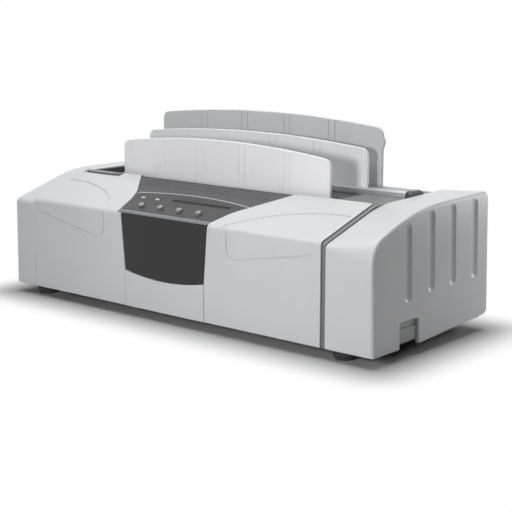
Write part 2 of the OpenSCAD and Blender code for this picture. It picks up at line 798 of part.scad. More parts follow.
// Paddle whose front carries ribs, each a pair of pressed lines with a steep left wall
module paddle_plate(w, low, top, drop, x, y) {
    translate([x, 0, 0]) difference() {
        y_prism(y, y + paddle_t, crown_outline(w / 2, low, top, drop, crown_r));
        intersection() {
            y_prism(y - 1, y + 2, crown_outline(w / 2, low - 1, top - 2.5, drop, crown_r));
            for (rib_x = rib_xs, dx = [-rib_w / 2, rib_w / 2])
                translate([rib_x + dx, y, low - 2]) linear_extrude(150)
                    polygon([[-0.2, -rib_line_deep], [0.2, rib_line_deep], [2 * rib_line_w, -rib_line_deep]]);
        }
    }
}

module middle_paddle() {
    color("silver") on_feet()
        paddle_plate(rack_paddle_w, deck_z + 1.3, middle_crown_z, 8.5, slot_cx + middle_dx, middle_y);
}

tab_z = 178;
module rear_paddle() {
    color("silver") on_feet() {
        paddle_plate(rack_paddle_w, 108, rear_crown_z, 9, slot_cx, rear_paddle_y);
        // finger tab on the right edge
        translate([slot_cx + rack_paddle_w / 2, 0, tab_z])
            y_prism(rear_paddle_y, rear_paddle_y + paddle_t,
                    [[-1, -8], [0, -8], [2.6, 0], [2.6, 2], [0, 6], [-1, 6]]);
    }
}

module paddle_brackets() {
    y = rear_paddle_y + paddle_t + 0.1;
    color("silver") on_feet() for (x = [slot_cx - 120, slot_cx + 120]) difference() {
        union() {
            bar([x - 12, y, 108], [x + 12, y + 2, deck_z - chassis_t - 0.1]);
            bar([x - 12, y, deck_z - chassis_t - 2.1], [x + 12, y + 18, deck_z - chassis_t - 0.1]);
        }
        y_rod(x, y - 1, y + 3, 114, 1.7);
    }
}

// ---------- channel and heater ----------

module channel_trough() {
    x0 = slot_cx - channel_l / 2;
    x1 = slot_cx + channel_l / 2;
    z0 = plate_z - plate_t - trough_t;
    z1 = deck_z - chassis_t - 0.1;
    color("silver") on_feet() difference() {
        bar([x0 - trough_t, channel_y0 - trough_t, z0], [x1 + trough_t, channel_y1 + trough_t, z1]);
        bar([x0, channel_y0, z0 + trough_t], [x1, channel_y1, 200]);
        // the heater shows through the floor
        bar([x0 + 8, channel_y0 + 6, z0 - 1], [x1 - 8, channel_y1 - 6, z0 + 5]);
        // the front wall stops under the chassis
        bar([x0 - 5, channel_y0 - 5, slope_z(channel_y0) - 8], [x1 + 5, opening_y0 + 0.2, 200]);
        // slots for the ears of the moving paddle
        bar([x0 - 5, front_paddle_y - 2, ear_z0 - 2], [x1 + 5, channel_y1 - 1.2, ear_z1 + 2]);
    }
}

module heating_plate() {
    color("silver") on_feet() bar([slot_cx - channel_l / 2 + 1.5, channel_y0 + 1.5, plate_z - plate_t],
                                  [slot_cx + channel_l / 2 - 1.5, channel_y1 - 1.5, plate_z]);
}

heater_ys = [-3, 10.5, 24];
heater_half = 140;
heater_cable_z = plate_z - plate_t - 3.9;
module heater_rods() {
    z = plate_z - plate_t - 3.3;
    color("dimgray") on_feet() for (y = heater_ys)
        x_rod(slot_cx - heater_half, slot_cx + heater_half, y, z, 3.2);
}

module heater_tray() {
    z1 = plate_z - plate_t - trough_t - 0.1;
    z0 = shaft_z + shaft_r + 1.6;
    color("tan") on_feet() difference() {
        bar([slot_cx - 146, channel_y0 + 7, z0], [slot_cx + 146, channel_y1 - 7, z1]);
        bar([slot_cx - 144, channel_y0 + 9, z0 + 1.4], [slot_cx + 144, channel_y1 - 9, z1 + 1]);
        z_rod(thermostat_x, thermostat_y, 60, 90, thermostat_r + 1);
        x_rod(slot_cx + 143, slot_cx + 147, heater_ys[1], heater_cable_z, 2);
    }
}

thermostat_x = 60;
thermostat_y = (heater_ys[1] + heater_ys[2]) / 2;
thermostat_r = 3.3;
module thermostat() {
    top = plate_z - plate_t;
    color("silver") on_feet() {
        z_rod(thermostat_x, thermostat_y, top - 6.5, top, thermostat_r);
        for (s = [-1, 1]) bar([thermostat_x + s * 1.8 - 0.8, thermostat_y - 0.3, top - 14],
                              [thermostat_x + s * 1.8 + 0.8, thermostat_y + 0.3, top - 6.49]);
    }
}

// ---------- clamp drive ----------

// Side frame of the drive. s is the side, and holes for the motor are cut where wanted
module guide_bracket(s, motor) {
    y0 = -32;
    y1 = 66;
    translate([slot_cx, 0, 0]) scale([s, 1, 1]) difference() {
        union() {
            bar([web_dx, y0, base_z1], [web_dx + web_t, y1, 100]);
            bar([web_dx - 16, y0, base_z1], [web_dx + web_t, y1, base_z1 + web_t]);
            for (y = [-28, 62]) bar([rod_dx - 9, y, rod_z - 8], [web_dx + 1, y + 3, rod_z + 10]);
        }
        y_rod(rod_dx, y0 - 5, y1 + 5, rod_z, rod_r + 0.02);
        x_rod(web_dx - 5, web_dx + 10, shaft_y, shaft_z, 5.02);
        if (motor) {
            x_rod(web_dx - 5, web_dx + 10, motor_y, motor_z, 6.1);
            for (a = [60, 240])
                x_rod(web_dx - 5, web_dx + 10, motor_y + 12 * cos(a), motor_z + 12 * sin(a), 1.7);
        }
    }
}
module left_guide_bracket() { color("lightsteelblue") on_feet() guide_bracket(-1, true); }
module right_guide_bracket() { color("lightsteelblue") on_feet() guide_bracket(1, false); }

module guide_rods() {
    color("silver") on_feet() for (s = [-1, 1]) y_rod(slot_cx + s * rod_dx, -30, 67, rod_z, rod_r);
}

module shaft_bushes() {
    color("peru") on_feet() for (s = [-1, 1]) translate([slot_cx, 0, 0]) scale([s, 1, 1]) difference() {
        union() {
            x_rod(web_dx - 1.5, web_dx + web_t, shaft_y, shaft_z, 5);
            x_rod(web_dx - 1.5, web_dx - 0.02, shaft_y, shaft_z, 7);
        }
        x_rod(web_dx - 5, web_dx + 8, shaft_y, shaft_z, shaft_r + run_gap);
    }
}

module gear_motor() {
    x1 = slot_cx - web_dx;
    color("silver") on_feet() difference() {
        union() {
            x_rod(x1 + 0.1, x1 + 22, motor_y, motor_z, 16);
            x_rod(x1 + 22, x1 + 54, motor_y, motor_z, 13.5);
            x_rod(x1 + 54, x1 + 57, motor_y, motor_z, 5);
            x_rod(x1 - web_t - 0.6, x1 + 1, motor_y, motor_z, 6);
        }
        x_rod(x1 - 10, x1 + 8, motor_y, motor_z, 2 + run_gap);
    }
}

module motor_pinion() {
    color("goldenrod") on_feet() {
        x_gear(wheel_x, motor_y, motor_z, pinion_teeth, mesh_a - 180 + 180 / pinion_teeth, wheel_t);
        x_rod(wheel_x - 1, slot_cx - web_dx + 6, motor_y, motor_z, 2);
    }
}

module shaft_wheel() {
    color("ivory") on_feet() difference() {
        union() {
            x_gear(wheel_x, shaft_y, shaft_z, wheel_teeth, mesh_a, wheel_t);
            x_rod(wheel_x - 1.5, wheel_x + wheel_t, shaft_y, shaft_z, 7);
        }
        x_rod(wheel_x - 5, wheel_x + 20, shaft_y, shaft_z, shaft_r + 0.01);
        for (i = [0:5]) let (a = 30 + i * 60)
            x_rod(wheel_x - 5, wheel_x + 20, shaft_y + 12.5 * cos(a), shaft_z + 12.5 * sin(a), 3.5);
    }
}

module cross_shaft() {
    color("silver") on_feet()
        x_rod(wheel_x - 3, slot_cx + web_dx + web_t + 4, shaft_y, shaft_z, shaft_r);
}

module rack_pinions() {
    color("goldenrod") on_feet() for (s = [-1, 1]) difference() {
        x_gear(slot_cx + s * rod_dx - 4, shaft_y, shaft_z, pinion_teeth, 90, 8);
        x_rod(slot_cx + s * rod_dx - 6, slot_cx + s * rod_dx + 6, shaft_y, shaft_z, shaft_r + 0.01);
    }
}

// Toothed bar over the pinion, with a gap over its centre at rest
rack_y0 = shaft_y - clamp_travel - 6;
rack_y1 = shaft_y + 6;
function rack_outline() =
    let (p = PI * gear_m, pz = shaft_z + pinion_r, tip = pz - 0.95 * gear_m, root = pz + 1.2 * gear_m,
         wt = p / 4 - backlash / 2 - 0.95 * gear_m * tan(20),
         wr = p / 4 - backlash / 2 + 1.2 * gear_m * tan(20),
         n0 = ceil((rack_y0 - shaft_y) / p - 0.5 + 0.4), n1 = floor((rack_y1 - shaft_y) / p - 0.5 - 0.4))
    concat([[rack_y0, rod_z - 10], [rack_y0, root]],
           [for (i = [n0:n1]) let (y = shaft_y + (i + 0.5) * p)
               each [[y - wr, root], [y - wt, tip], [y + wt, tip], [y + wr, root]]],
           [[rack_y1, root], [rack_y1, rod_z - 10]]);

module carriage(s) {
    x = slot_cx + s * rod_dx;
    difference() {
        union() {
            bar([x - 8, block_y0, rod_z - 10.01], [x + 8, block_y1, ear_z1]);
            x_prism(x - 4, x + 4, rack_outline());
        }
        y_rod(x, block_y0 - 5, block_y1 + 5, rod_z, rod_r + run_gap);
        y_rod(x, block_y0 - 1, block_y0 + 12, 102, 1.6);
    }
}
module left_carriage() { color("ivory") on_feet() carriage(-1); }
module right_carriage() { color("ivory") on_feet() carriage(1); }

module front_paddle() {
    color("gainsboro") on_feet() difference() {
        union() {
            paddle_plate(front_paddle_w, paddle_low_z, front_crown_z, 9.7, slot_cx, front_paddle_y);
            bar([slot_cx - rod_dx - 6, front_paddle_y, ear_z0],
                [slot_cx + rod_dx + 6, front_paddle_y + paddle_t, ear_z1]);
        }
        for (s = [-1, 1]) y_rod(slot_cx + s * rod_dx, front_paddle_y - 5, front_paddle_y + 8, 102, 1.8);
    }
}

module carriage_screws() {
    color("silver") on_feet() for (s = [-1, 1])
        translate([slot_cx + s * rod_dx, front_paddle_y, 102])
            rotate([90, 0, 0]) screw(3.2, 1.6, 1.55, 12);
}

module limit_switches() {
    color("black") on_feet() for (y = [-31, 50]) {
        bar([slot_cx + rod_dx - 5, y, 55], [slot_cx + rod_dx + 5, y + 12, 71]);
        bar([slot_cx + rod_dx - 3, y + 2, base_z1 + web_t], [slot_cx + rod_dx + 3, y + 10, 55.01]);
        bar([slot_cx + rod_dx - 2, y + 3, 70.99], [slot_cx + rod_dx + 2, y + 5, 72.2]);
    }
}

// ---------- power ----------

module power_board() {
    color("seagreen") on_feet() difference() {
        bar([-70, -88, 12], [60, -34, 13.6]);
        for (x = [-65, 55], y = [-83, -39]) z_rod(x, y, 0, 20, 1.6);
    }
}

module power_board_parts() {
    color("black") on_feet() {
        for (x = [-65, 55], y = [-83, -39]) {
            z_rod(x, y, base_z1, 12, 3);
            z_rod(x, y, 11.9, 16, 1.5);
        }
        bar([-52, -80, 13.6], [-34, -64, 30]);
        bar([-28, -78, 13.6], [-8, -66, 34]);
        for (i = [0:2]) z_rod(6 + i * 15, -72, 13.6, 38, 6.2);
        difference() {
            bar([-50, -56, 13.6], [30, -42, 42]);
            bar([-60, -53.2, 18], [35, -44.8, 60]);
            for (i = [0:8]) bar([-46 + i * 8.4, -60, 22], [-42 + i * 8.4, -30, 60]);
        }
        bar([36, -58, 13.6], [50, -44, 24]);
    }
}

module transformer() {
    color("darkslategray") on_feet() {
        bar([92, -84, base_z1], [148, -60, 50]);
        bar([98, -88.5, base_z1 + 8], [142, -55.5, 42]);
        bar([84, -80, base_z1], [156, -64, base_z1 + 2.5]);
    }
}

// ---------- fan ----------

fan_y0 = rear_panel_y - 15.4;
fan_y1 = rear_panel_y - 0.3;
module fan_frame() {
    color("black") on_feet() difference() {
        bar([fan_x - fan_half, fan_y0, fan_z - fan_half], [fan_x + fan_half, fan_y1, fan_z + fan_half]);
        y_rod(fan_x, fan_y0 + 2.4, fan_y1 + 1, fan_z, 28);
        // four spokes carry the motor hub
        difference() {
            y_rod(fan_x, fan_y0 - 1, fan_y0 + 5, fan_z, 28);
            y_rod(fan_x, fan_y0 - 2, fan_y0 + 6, fan_z, 11);
            for (a = [20, 110]) translate([fan_x, fan_y0, fan_z])
                rotate([0, a, 0]) bar([-40, -2, -1.8], [40, 8, 1.8]);
        }
        for (x = [-25, 25], z = [-25, 25]) y_rod(fan_x + x, fan_y0 - 1, fan_y1 + 1, fan_z + z, 2.2);
    }
    color("silver") on_feet() y_rod(fan_x, fan_y0 + 2.3, fan_y0 + 8, fan_z, 1.5);
}

module fan_rotor() {
    y0 = fan_y0 + 3.2;
    color("black") on_feet() difference() {
        union() {
            y_rod(fan_x, y0, fan_y1 - 1.5, fan_z, 12);
            intersection() {
                y_rod(fan_x, y0, fan_y1 - 1.8, fan_z, 27);
                for (i = [0:6]) translate([fan_x, (y0 + fan_y1) / 2 - 0.7, fan_z])
                    rotate([0, i * 360 / 7, 0])
                    translate([10, 0, 0]) rotate([38, 0, 0]) bar([0, -12, -0.8], [20, 12, 0.8]);
            }
        }
        y_rod(fan_x, y0 - 1, fan_y0 + 9, fan_z, 1.5 + run_gap);
    }
}

// ---------- wiring ----------

// Cable through a list of points one axis apart, with a ball at every bend
module cable(points, r) {
    for (i = [0:len(points) - 2]) let (a = points[i], d = points[i + 1] - a, l = norm(d)) {
        translate(a) rotate(d[0] != 0 ? [0, 90 * sign(d[0]), 0]
                            : d[1] != 0 ? [-90 * sign(d[1]), 0, 0] : [d[2] < 0 ? 180 : 0, 0, 0])
            cylinder(h = l, r = r);
        if (i > 0) translate(a) sphere(r = r + 0.3);
    }
}
module heater_cable() {
    x0 = slot_cx + heater_half + 0.1;
    color("white") on_feet()
        cable([[x0, heater_ys[1], heater_cable_z], [x0 + 14, heater_ys[1], heater_cable_z],
               [x0 + 14, -4, heater_cable_z], [x0 + 14, -4, 26], [x0 + 14, -44, 26],
               [x0 + 14, -44, 9], [70, -44, 9]], 1.6);
}
module motor_cable() {
    x0 = slot_cx - web_dx + 57.1;
    color("red") on_feet()
        cable([[x0, motor_y, motor_z], [x0 + 8, motor_y, motor_z], [x0 + 8, motor_y, 9],
               [x0 + 8, -50, 9], [-78, -50, 9]], 1.4);
}

// ---------- output ----------

base_plate();
rubber_feet();
foot_screws();
chassis_shell();
left_front_cover();
right_front_cover();
centre_front_panel();
front_fascia();
console_trim();
console_deck();
control_panel();
left_end_cap();
right_end_cap();
side_port_plate();
rear_cover();
rear_screws();
rack_rail();
middle_paddle();
rear_paddle();
paddle_brackets();
channel_trough();
heating_plate();
heater_rods();
heater_tray();
thermostat();
left_guide_bracket();
right_guide_bracket();
guide_rods();
shaft_bushes();
gear_motor();
control_board();
board_posts();
button_switches();
display_module();
display_window();
indicator_lamps();
sensor_tray();
power_board();
power_board_parts();
transformer();
power_inlet();
rocker_housing();
fan_frame();
limit_switches();
heater_cable();
motor_cable();
front_paddle();
left_carriage();
right_carriage();
carriage_screws();
cross_shaft();
rack_pinions();
shaft_wheel();
motor_pinion();
start_button();
stop_button();
less_button();
more_button();
rocker_key();
fan_rotor();
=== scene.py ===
"""Looks of a desktop thermal binding machine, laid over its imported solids."""
import json
import math

import bmesh
import bpy
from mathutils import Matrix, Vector

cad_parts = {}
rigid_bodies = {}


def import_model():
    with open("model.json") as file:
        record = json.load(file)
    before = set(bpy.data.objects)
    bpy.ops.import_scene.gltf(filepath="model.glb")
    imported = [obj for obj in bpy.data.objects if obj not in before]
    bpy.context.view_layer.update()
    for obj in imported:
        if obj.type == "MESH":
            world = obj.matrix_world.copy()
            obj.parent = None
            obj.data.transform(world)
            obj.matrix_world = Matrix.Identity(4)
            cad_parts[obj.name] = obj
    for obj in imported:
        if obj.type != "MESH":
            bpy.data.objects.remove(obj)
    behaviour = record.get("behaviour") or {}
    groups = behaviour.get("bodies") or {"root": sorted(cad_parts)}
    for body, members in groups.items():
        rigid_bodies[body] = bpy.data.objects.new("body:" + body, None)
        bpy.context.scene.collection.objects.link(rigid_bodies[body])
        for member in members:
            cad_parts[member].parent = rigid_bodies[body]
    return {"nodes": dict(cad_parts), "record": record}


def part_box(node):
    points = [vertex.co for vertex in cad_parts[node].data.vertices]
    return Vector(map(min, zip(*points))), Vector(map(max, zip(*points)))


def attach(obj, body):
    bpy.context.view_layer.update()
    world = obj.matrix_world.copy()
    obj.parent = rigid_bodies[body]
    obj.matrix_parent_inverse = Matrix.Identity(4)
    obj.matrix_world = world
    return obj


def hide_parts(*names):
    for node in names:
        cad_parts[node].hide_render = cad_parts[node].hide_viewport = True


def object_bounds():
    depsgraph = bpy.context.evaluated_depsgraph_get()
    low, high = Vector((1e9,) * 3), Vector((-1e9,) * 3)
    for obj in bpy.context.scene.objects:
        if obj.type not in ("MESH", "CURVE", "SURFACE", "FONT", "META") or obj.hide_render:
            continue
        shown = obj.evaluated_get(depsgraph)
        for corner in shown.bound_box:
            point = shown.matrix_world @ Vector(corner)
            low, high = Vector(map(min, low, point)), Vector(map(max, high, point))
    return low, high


bl_info = {
    "name": "Thermal binding machine",
    "version": (1, 0, 0),
    "blender": (4, 5, 0),
    "location": "3D View > Sidebar > Binding machine",
    "description": "Dresses the binding machine's solids and sets up its stage",
    "category": "Object",
}

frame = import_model()
CAD_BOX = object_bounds()
NODES = frame["nodes"]
BODY_OF = {node: body for body, nodes in frame["record"]["behaviour"]["bodies"].items() for node in nodes}
MM = 0.001

# Places that several pieces share, in metres: the bottom of the housing, which its feet hold above the
# floor, the rear edge of the front covers, and the middle of the channel
FOOT_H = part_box("centre_front_panel")[0].z
LIP_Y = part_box("right_front_cover")[1].y
CHANNEL_X = (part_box("front_fascia")[0].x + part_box("front_fascia")[1].x) / 2

# The control panel's rear edge is an arc of this radius, with its crest at this place
PANEL_BOW_R = 0.420
PANEL_BOW_X = CHANNEL_X - 1 * MM
PANEL_BOW_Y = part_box("control_panel")[1].y

# A copied solid's corners are joined when they are this close and its faces when they bend less than
# this, and its edges are rounded where they bend more than this
MERGE_REACH = 0.01 * MM
FLAT_BEND = math.radians(0.5)
ROUND_BEND = math.radians(30)

# The lines pressed into a front cover lie further than this from the channel's middle, and keep these
# distances from the cover's outer end, its bottom and its rear edge
COVER_LINE_X = 78 * MM
COVER_END_GAP = 2 * MM
COVER_BOTTOM_GAP = 2 * MM
COVER_REAR_GAP = 12 * MM

# The lines pressed into a paddle keep this distance from its sides, and the edges across their ends are
# no longer than this
PADDLE_SIDE_GAP = 8 * MM
PADDLE_LINE_END = 1.6 * MM

# Middle of each flute in the right end cap, and the height over the housing's bottom that its top stays
# below, in millimetres
FLUTES = ((-44.1, 120), (-4.3, 127.5), (33.6, 129), (74.4, 129))
CAP_FLUTES = [(y * MM, FOOT_H + top * MM) for y, top in FLUTES]

# Just over half a flute's width, the height over the housing's bottom that all flutes stay above, and the
# share of the cap's own radius that their rims get
FLUTE_REACH = 6.6 * MM
FLUTE_LOW = 40 * MM
FLUTE_SHARE = 0.3

# How far the rail's end plug stands proud of the rail
PLUG_WALL = 0.3 * MM

# Radii on the edges of the feet, of the keys and lamps, of the display window and of the rail
FEET_EDGE = 1.2 * MM
KEY_EDGE = 0.3 * MM
WINDOW_EDGE = 0.25 * MM
RAIL_EDGE = 0.5 * MM

# The floor's own grey and its width in metres
PAPER_TONE = 0.58
FLOOR_WIDTH = 40

# The camera's place in metres, its angles in degrees, and its lens and sensor width in millimetres
CAMERA_PLACE = (0.8894, -1.0050, 0.3283)
CAMERA_AZIMUTH = 40.64
CAMERA_ELEVATION = 11.34
CAMERA_LENS = 87.59
SENSOR_WIDTH = 36


def linear(text):
    """sRGB hex to a linear colour."""
    parts = [int(text[i:i + 2], 16) / 255 for i in (1, 3, 5)]
    return [p / 12.92 if p <= 0.04045 else ((p + 0.055) / 1.055) ** 2.4 for p in parts]


def colour(name, text, description):
    """Colour setting whose default is an sRGB hex value."""
    return bpy.props.FloatVectorProperty(
        name=name, description=description, subtype="COLOR", size=3, min=0, max=1, default=linear(text))


def length(name, millimetres, description):
    """Length setting whose default is in millimetres."""
    return bpy.props.FloatProperty(
        name=name, description=description, subtype="DISTANCE", unit="LENGTH", min=0,
        default=millimetres * MM)


def number(name, value, description):
    """Plain number setting."""
    return bpy.props.FloatProperty(name=name, description=description, min=0, default=value)


class BinderColours(bpy.types.PropertyGroup):
    housing: colour("Housing", "#CFD0D2", "Moulded covers and end caps")
    # The three paddles are one plastic, and their colours paint the light they get: the front two lighter,
    # the rear one darker for its shade
    front_paddle: colour("Front paddle", "#F2F2F4", "Moving paddle")
    middle_paddle: colour("Middle paddle", "#EEEFF0", "First paddle of the cooling rack")
    rear_paddle: colour("Rear paddle", "#CDCED0", "Second paddle of the cooling rack")
    chassis: colour("Chassis", "#6D6E71", "Moulding under the covers")
    fascia: colour("Fascia", "#0F0F11", "Dark front panel")
    console: colour("Console", "#3C3C3E", "Sloping console")
    panel: colour("Control panel", "#222224", "Overlay that carries the keys")
    # the trim's pale colour is partly its own and partly a painted highlight along the console's rounded
    # front edge
    trim_and_highlight: colour("Trim", "#717274", "Console's front edge")
    plate: colour("Side plate", "#9B9C9E", "Plate in the right end cap")
    keys: colour("Keys", "#8A8B8D", "Push buttons")
    # a painted highlight: a pale line where the control panel's bowed rim catches the light
    edge_highlight: colour("Border", "#B4B5B7", "Line printed along the control panel's bowed edge")


class BinderSizes(bpy.types.PropertyGroup):
    cover_edge: length("Cover edge", 0.9, "Radius on the covers' edges")
    cap_edge: length("Cap edge", 1.0, "Radius on the end caps' edges")
    paddle_edge: length("Paddle edge", 0.9, "Radius on the paddles' edges")
    small_edge: length("Small edge", 0.4, "Radius on small parts")
    moulding_grain: length("Moulding grain", 1.3, "Spacing of the moulded texture")
    brush_line: length("Brush line", 0.5, "Spacing of brush marks on metal")
    rail_plug: length("Rail plug", 5, "Length of the plug on the rail's right end")
    # width of the painted highlight along the control panel's bowed rim
    edge_highlight: length("Border", 1.8, "Width of the control panel's printed border")


class BinderLight(bpy.types.PropertyGroup):
    sky: number("Sky", 0.0, "Strength of the even light all round")
    lamps: number("Lamps", 1.0, "Strength of all the lamps together")
    floor: number("Floor", 1.0, "How pale the floor looks away from the machine")
    shadow_from: length(
        "Shadow fade start", 0, "Distance from the machine where the floor starts to fade to white")
    shadow_to: length("Shadow fade end", 66, "Distance from the machine where the floor is white")


# ---------- tools ----------

def settings():
    """The colours, sizes and light that a user can change."""
    scene = bpy.context.scene
    return scene.binder_colours, scene.binder_sizes, scene.binder_light


def only(piece):
    """Leave one object selected and active."""
    for other in bpy.context.view_layer.objects:
        other.select_set(False)
    piece.select_set(True)
    bpy.context.view_layer.objects.active = piece


def add_node(tree, kind, setup=None, values=None, links=None):
    """Add a shader node with its settings, its constants and its incoming links."""
    made = tree.nodes.new(kind)
    for name, value in (setup or {}).items():
        setattr(made, name, value)
    for socket, value in (values or {}).items():
        made.inputs[socket].default_value = value
    for socket, source in (links or {}).items():
        tree.links.new(source, made.inputs[socket])
    return made


def start_material(name, rough, metallic=0.0, ior=None, coat=0.0):
    """New material with its main shader and the object's own coordinates."""
    material = bpy.data.materials.new(name)
    material.use_nodes = True
    tree = material.node_tree
    shader = tree.nodes["Principled BSDF"]
    shader.inputs["Roughness"].default_value = rough
    shader.inputs["Metallic"].default_value = metallic
    if ior:
        shader.inputs["IOR"].default_value = ior
    if coat:
        shader.inputs["Coat Weight"].default_value = coat
        shader.inputs["Coat Roughness"].default_value = 0.08
    place = add_node(tree, "ShaderNodeTexCoord").outputs["Object"]
    return material, tree, shader, place


def noise(tree, place, spacing, detail=2.0, stretch=None):
    """Noise whose features are spacing metres apart, optionally stretched along an axis."""
    if stretch:
        mapping = add_node(tree, "ShaderNodeMapping", values={"Scale": stretch}, links={"Vector": place})
        place = mapping.outputs[0]
    return add_node(tree, "ShaderNodeTexNoise", values={"Scale": 1 / spacing, "Detail": detail},
                    links={"Vector": place}).outputs["Fac"]


def tone(tree, shader, factor, base, spread):
    """Vary the base colour by spread either way along a factor."""
    ramp = add_node(tree, "ShaderNodeValToRGB", links={"Fac": factor})
    low, high = ramp.color_ramp.elements
    # most of a noise lies between these two
    low.position, high.position = 0.3, 0.7
    low.color = [c * (1 - spread) for c in base] + [1]
    high.color = [min(1, c * (1 + spread)) for c in base] + [1]
    tree.links.new(ramp.outputs["Color"], shader.inputs["Base Color"])
    return ramp


def vary_rough(tree, shader, factor, low, high):
    """Let the roughness follow a factor, from low to high."""
    span = add_node(tree, "ShaderNodeMapRange", values={"To Min": low, "To Max": high},
                    links={"Value": factor})
    tree.links.new(span.outputs["Result"], shader.inputs["Roughness"])


def bump(tree, shader, height, strength, distance):
    """Raise the surface by a pattern, distance metres at most."""
    made = add_node(tree, "ShaderNodeBump", values={"Strength": strength, "Distance": distance},
                    links={"Height": height})
    tree.links.new(made.outputs["Normal"], shader.inputs["Normal"])


# ---------- finishes ----------

def moulded_abs(name, base, rough=0.33, grain=1.3 * MM, relief=0.10):
    """ABS from a spark-eroded mould: a fine even grain that softens its highlights."""
    material, tree, shader, place = start_material(name, rough, ior=1.53)
    tone(tree, shader, noise(tree, place, 60 * MM, 3), base, 0.018)
    vary_rough(tree, shader, noise(tree, place, 25 * MM, 3), rough - 0.015, rough + 0.015)
    # the real grain is 0.3 mm and wouldn't show, so it is drawn coarser
    bump(tree, shader, noise(tree, place, grain, 4), relief, 0.05 * MM)
    return material


def gloss_abs(name, base, rough=0.18, ior=1.53):
    """ABS from a polished mould: smooth, with faint flow marks and a clear sheen."""
    material, tree, shader, place = start_material(name, rough, ior=ior)
    tone(tree, shader, noise(tree, place, 35 * MM, 2), base, 0.05)
    vary_rough(tree, shader, noise(tree, place, 12 * MM, 3), rough - 0.04, rough + 0.06)
    bump(tree, shader, noise(tree, place, 18 * MM, 1), 0.05, 0.1 * MM)
    return material


def polyester_with_painted_highlight(name, base, edge_highlight, centre, radius, width):
    """Reverse-printed polyester film: satin, finely embossed, with a painted highlight along its bowed
    edge.
    """
    material, tree, shader, place = start_material(name, 0.34, ior=1.5)
    flat = add_node(tree, "ShaderNodeVectorMath", {"operation": "MULTIPLY"}, {1: (1, 1, 0)}, {0: place})
    reach = add_node(tree, "ShaderNodeVectorMath", {"operation": "DISTANCE"}, {1: (*centre, 0)},
                     {0: flat.outputs[0]})
    # the painted highlight is the outer tenth of a band ten highlight widths wide, which ends at the bowed
    # edge
    share = add_node(tree, "ShaderNodeMapRange", links={"Value": reach.outputs["Value"]},
                     values={"From Min": radius - 10 * width, "From Max": radius})
    highlight_ramp = add_node(tree, "ShaderNodeValToRGB", links={"Fac": share.outputs["Result"]})
    highlight_ramp.color_ramp.interpolation = "CONSTANT"
    ground, line = highlight_ramp.color_ramp.elements
    ground.position, line.position = 0.0, 0.9
    ground.color = [*base, 1]
    line.color = [*edge_highlight, 1]
    tree.links.new(highlight_ramp.outputs["Color"], shader.inputs["Base Color"])
    vary_rough(tree, shader, noise(tree, place, 20 * MM, 3), 0.30, 0.40)
    bump(tree, shader, noise(tree, place, 0.9 * MM, 2), 0.12, 0.04 * MM)
    return material


def brushed_metal(name, base, rough, along, line=0.5 * MM):
    """Metal brushed along one axis: long fine scratches that spread its shine across them."""
    material, tree, shader, place = start_material(name, rough, metallic=1.0)
    # each mark is fifty times as long as it is wide
    stretch = [0.02 if axis == along else 1.0 for axis in "XYZ"]
    marks = noise(tree, place, line, 3, stretch)
    tone(tree, shader, marks, base, 0.05)
    vary_rough(tree, shader, marks, rough - 0.06, rough + 0.08)
    bump(tree, shader, marks, 0.12, 0.03 * MM)
    return material


def zinc_sheet(name, base, rough=0.34):
    """Zinc-plated pressed steel: cloudy patches in a cool, slightly blue metal."""
    material, tree, shader, place = start_material(name, rough, metallic=1.0)
    spangle = add_node(tree, "ShaderNodeTexVoronoi", values={"Scale": 1 / (7 * MM)},
                       links={"Vector": place})
    tone(tree, shader, spangle.outputs["Distance"], base, 0.08)
    vary_rough(tree, shader, noise(tree, place, 9 * MM, 3), rough - 0.06, rough + 0.1)
    return material


def turned_metal(name, base, rough=0.22):
    """Turned or ground metal: bright, with hair-fine tool marks."""
    material, tree, shader, place = start_material(name, rough, metallic=1.0)
    # each mark is ten times as long as it is wide
    marks = noise(tree, place, 0.4 * MM, 2, [1.0, 0.1, 1.0])
    tone(tree, shader, marks, base, 0.04)
    bump(tree, shader, marks, 0.08, 0.02 * MM)
    return material


def moulded_rubber(name, base):
    """Compression-moulded rubber: dull, dusty and slightly uneven."""
    material, tree, shader, place = start_material(name, 0.78, ior=1.52)
    tone(tree, shader, noise(tree, place, 4 * MM, 4), base, 0.25)
    bump(tree, shader, noise(tree, place, 1 * MM, 3), 0.2, 0.1 * MM)
    return material


def powder_coat(name, base):
    """Baked powder coat: orange peel over pressed steel."""
    material, tree, shader, place = start_material(name, 0.5, ior=1.5)
    tone(tree, shader, noise(tree, place, 30 * MM, 3), base, 0.08)
    bump(tree, shader, noise(tree, place, 1.5 * MM, 2), 0.25, 0.06 * MM)
    return material


def natural_nylon(name, base, rough=0.45):
    """Unpigmented acetal or nylon: milky, soft-edged and waxy."""
    material, tree, shader, place = start_material(name, rough, ior=1.5)
    shader.inputs["Subsurface Weight"].default_value = 0.15
    shader.inputs["Subsurface Radius"].default_value = (0.004, 0.003, 0.002)
    tone(tree, shader, noise(tree, place, 8 * MM, 3), base, 0.04)
    bump(tree, shader, noise(tree, place, 0.8 * MM, 2), 0.1, 0.03 * MM)
    return material


def circuit_mask(name, base):
    """Solder mask over copper: glossy green with darker bare laminate between tracks."""
    material, tree, shader, place = start_material(name, 0.25, ior=1.5, coat=0.3)
    grid = add_node(tree, "ShaderNodeTexBrick", {"offset": 0.5},
                    {"Scale": 1 / (12 * MM), "Mortar Size": 0.03, "Mortar": (0.02, 0.14, 0.07, 1),
                     "Color1": base + [1], "Color2": [c * 1.25 for c in base] + [1]}, {"Vector": place})
    tree.links.new(grid.outputs["Color"], shader.inputs["Base Color"])
    bump(tree, shader, grid.outputs["Fac"], 0.3, 0.05 * MM)
    return material


